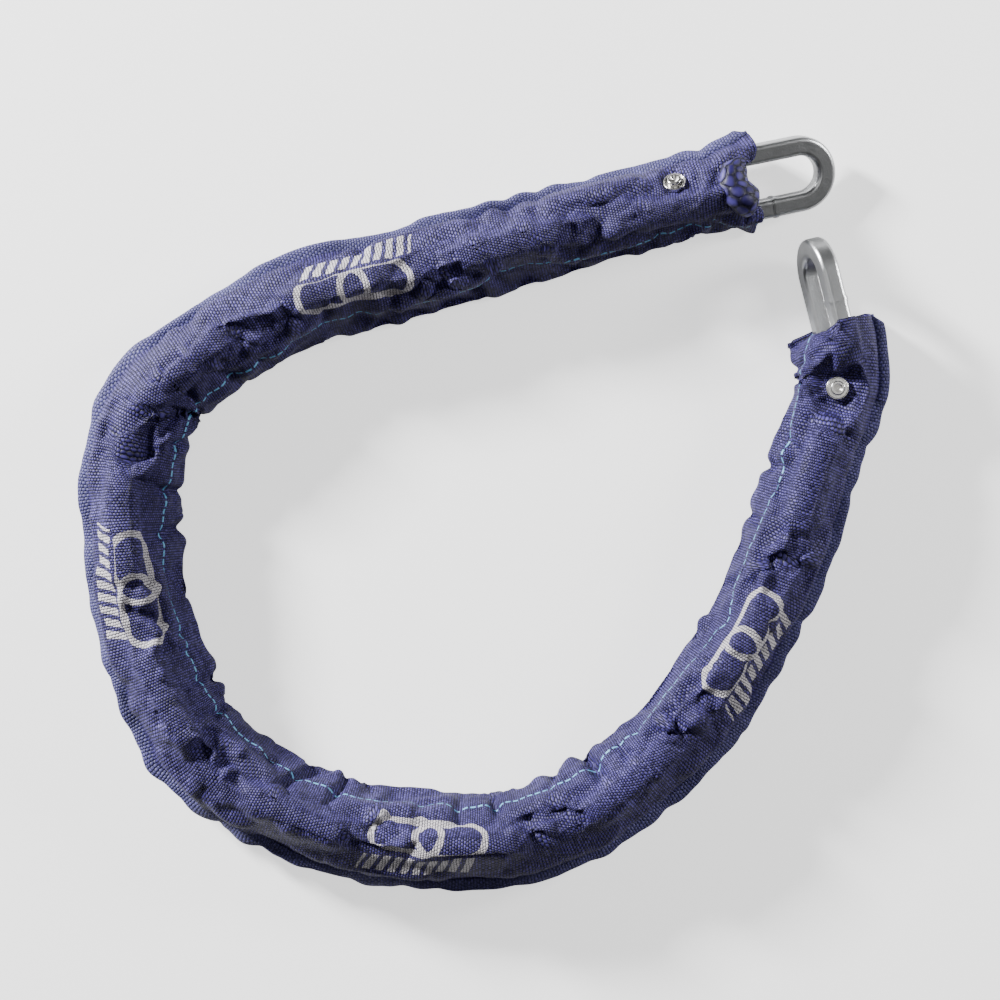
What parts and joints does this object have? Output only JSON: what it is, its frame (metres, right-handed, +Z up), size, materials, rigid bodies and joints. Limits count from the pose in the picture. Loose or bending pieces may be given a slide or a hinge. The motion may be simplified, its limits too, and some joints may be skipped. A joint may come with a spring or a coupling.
{
  "type": "sleeved security chain",
  "caption": "Hardened square-bar security chain in a woven fabric sleeve, riveted near both ends, with an oval end link showing at each end to take a padlock shackle.",
  "frame": {"origin": "under the middle of the laid loop's bounding box, on the floor", "axes": "+Z up from the floor the chain lies on; +X towards the side where the two end links meet; +Y towards end link A; the loop lies open in the XY plane"},
  "size_m": [0.3345, 0.3146, 0.0346],
  "materials": {
    "zinc_steel": "zinc plated, satin",
    "rivet_steel": "bright nickel plated",
    "sleeve_fabric": "coarse plain weave, violet-blue"
  },
  "bodies": {
    "end_a": {"end_link_a": "zinc_steel", "sleeve_01": "sleeve_fabric"},
    "segment_02": {"link_02": "zinc_steel", "sleeve_02": "sleeve_fabric", "rivet_a": "rivet_steel", "washer_a_top": "rivet_steel", "washer_a_under": "rivet_steel"},
    "segment_03": {"link_03": "zinc_steel", "sleeve_03": "sleeve_fabric"},
    "segment_04": {"link_04": "zinc_steel", "sleeve_04": "sleeve_fabric"},
    "segment_05": {"link_05": "zinc_steel", "sleeve_05": "sleeve_fabric"},
    "segment_06": {"link_06": "zinc_steel", "sleeve_06": "sleeve_fabric"},
    "segment_07": {"link_07": "zinc_steel", "sleeve_07": "sleeve_fabric"},
    "segment_08": {"link_08": "zinc_steel", "sleeve_08": "sleeve_fabric"},
    "segment_09": {"link_09": "zinc_steel", "sleeve_09": "sleeve_fabric"},
    "segment_10": {"link_10": "zinc_steel", "sleeve_10": "sleeve_fabric"},
    "segment_11": {"link_11": "zinc_steel", "sleeve_11": "sleeve_fabric"},
    "segment_12": {"link_12": "zinc_steel", "sleeve_12": "sleeve_fabric"},
    "segment_13": {"link_13": "zinc_steel", "sleeve_13": "sleeve_fabric"},
    "segment_14": {"link_14": "zinc_steel", "sleeve_14": "sleeve_fabric"},
    "segment_15": {"link_15": "zinc_steel", "sleeve_15": "sleeve_fabric"},
    "segment_16": {"link_16": "zinc_steel", "sleeve_16": "sleeve_fabric"},
    "segment_17": {"link_17": "zinc_steel", "sleeve_17": "sleeve_fabric"},
    "segment_18": {"link_18": "zinc_steel", "sleeve_18": "sleeve_fabric"},
    "segment_19": {"link_19": "zinc_steel", "sleeve_19": "sleeve_fabric"},
    "segment_20": {"link_20": "zinc_steel", "sleeve_20": "sleeve_fabric"},
    "segment_21": {"link_21": "zinc_steel", "sleeve_21": "sleeve_fabric"},
    "segment_22": {"link_22": "zinc_steel", "sleeve_22": "sleeve_fabric"},
    "segment_23": {"link_23": "zinc_steel", "sleeve_23": "sleeve_fabric", "rivet_b": "rivet_steel", "washer_b_top": "rivet_steel", "washer_b_under": "rivet_steel"},
    "end_b": {"end_link_b": "zinc_steel", "sleeve_24": "sleeve_fabric"}
  },
  "joints": [
    {"name": "swing_02", "type": "hinge", "parent": "end_a", "child": "segment_02", "pos_m": [0.10693, 0.13559, 0.0172], "axis": [-0.0986, 0.4271, -0.8988], "range_deg": [-30, 3]},
    {"name": "lift_03", "type": "hinge", "parent": "segment_02", "child": "segment_03", "pos_m": [0.07082, 0.12751, 0.0172], "axis": [-0.2344, 0.91, 0.342], "range_deg": [-30, 30]},
    {"name": "swing_04", "type": "hinge", "parent": "segment_03", "child": "segment_04", "pos_m": [0.03499, 0.11828, 0.0172], "axis": [0.0448, -0.1678, 0.9848], "range_deg": [-11, 8]},
    {"name": "lift_05", "type": "hinge", "parent": "segment_04", "child": "segment_05", "pos_m": [-0.00078, 0.10881, 0.0172], "axis": [0.2668, -0.9637, 0], "range_deg": [-10, 10]},
    {"name": "swing_06", "type": "hinge", "parent": "segment_05", "child": "segment_06", "pos_m": [-0.03644, 0.09894, 0.0172], "axis": [0, 0, -1], "range_deg": [-4, 30]},
    {"name": "lift_07", "type": "hinge", "parent": "segment_06", "child": "segment_07", "pos_m": [-0.07273, 0.09057, 0.0172], "axis": [-0.4576, 0.8892, 0], "range_deg": [-30, 30]},
    {"name": "swing_08", "type": "hinge", "parent": "segment_07", "child": "segment_08", "pos_m": [-0.10563, 0.07364, 0.0172], "axis": [0, 0, 1], "range_deg": [-45, 3]},
    {"name": "lift_09", "type": "hinge", "parent": "segment_08", "child": "segment_09", "pos_m": [-0.13701, 0.05131, 0.0172], "axis": [0.9461, -0.3239, 0], "range_deg": [-10, 10]},
    {"name": "swing_10", "type": "hinge", "parent": "segment_09", "child": "segment_10", "pos_m": [-0.14899, 0.01631, 0.0172], "axis": [0, 0, -1], "range_deg": [-2, 51]},
    {"name": "lift_11", "type": "hinge", "parent": "segment_10", "child": "segment_11", "pos_m": [-0.14858, -0.02085, 0.0172], "axis": [-0.9775, -0.2111, 0], "range_deg": [-30, 30]},
    {"name": "swing_12", "type": "hinge", "parent": "segment_11", "child": "segment_12", "pos_m": [-0.14077, -0.05702, 0.0172], "axis": [0, 0, 1], "range_deg": [-45, 2]},
    {"name": "lift_13", "type": "hinge", "parent": "segment_12", "child": "segment_13", "pos_m": [-0.12624, -0.09191, 0.0172], "axis": [0.6626, 0.749, 0], "range_deg": [-20, 20]},
    {"name": "swing_14", "type": "hinge", "parent": "segment_13", "child": "segment_14", "pos_m": [-0.09853, -0.11643, 0.0172], "axis": [0, 0, -1], "range_deg": [-2, 49]},
    {"name": "lift_15", "type": "hinge", "parent": "segment_14", "child": "segment_15", "pos_m": [-0.06485, -0.13248, 0.0172], "axis": [-0.165, -0.9863, 0], "range_deg": [-30, 30]},
    {"name": "swing_16", "type": "hinge", "parent": "segment_15", "child": "segment_16", "pos_m": [-0.02836, -0.13859, 0.0172], "axis": [0, 0, 1], "range_deg": [-42, 3]},
    {"name": "lift_17", "type": "hinge", "parent": "segment_16", "child": "segment_17", "pos_m": [0.00923, -0.1396, 0.0172], "axis": [-0.3573, 0.934, 0], "range_deg": [-20, 20]},
    {"name": "swing_18", "type": "hinge", "parent": "segment_17", "child": "segment_18", "pos_m": [0.04379, -0.12638, 0.0172], "axis": [0, 0, -1], "range_deg": [-3, 48]},
    {"name": "lift_19", "type": "hinge", "parent": "segment_18", "child": "segment_19", "pos_m": [0.07386, -0.1043, 0.0172], "axis": [0.7912, -0.6116, 0], "range_deg": [-30, 30]},
    {"name": "swing_20", "type": "hinge", "parent": "segment_19", "child": "segment_20", "pos_m": [0.09649, -0.07502, 0.0172], "axis": [0, 0, 1], "range_deg": [-37, 6]},
    {"name": "lift_21", "type": "hinge", "parent": "segment_20", "child": "segment_21", "pos_m": [0.11618, -0.04356, 0.0172], "axis": [-0.9259, 0.3778, 0], "range_deg": [-30, 30]},
    {"name": "swing_22", "type": "hinge", "parent": "segment_21", "child": "segment_22", "pos_m": [0.13016, -0.0093, 0.0172], "axis": [0, 0, -1], "range_deg": [-24, 35]},
    {"name": "lift_23", "type": "hinge", "parent": "segment_22", "child": "segment_23", "pos_m": [0.14161, 0.02592, 0.0172], "axis": [0.9767, -0.2144, 0], "range_deg": [-30, 30]},
    {"name": "swing_24", "type": "hinge", "parent": "segment_23", "child": "end_b", "pos_m": [0.14955, 0.06206, 0.0172], "axis": [0.1906, 0.0599, 0.9799], "range_deg": [-16, 3]}
  ]
}
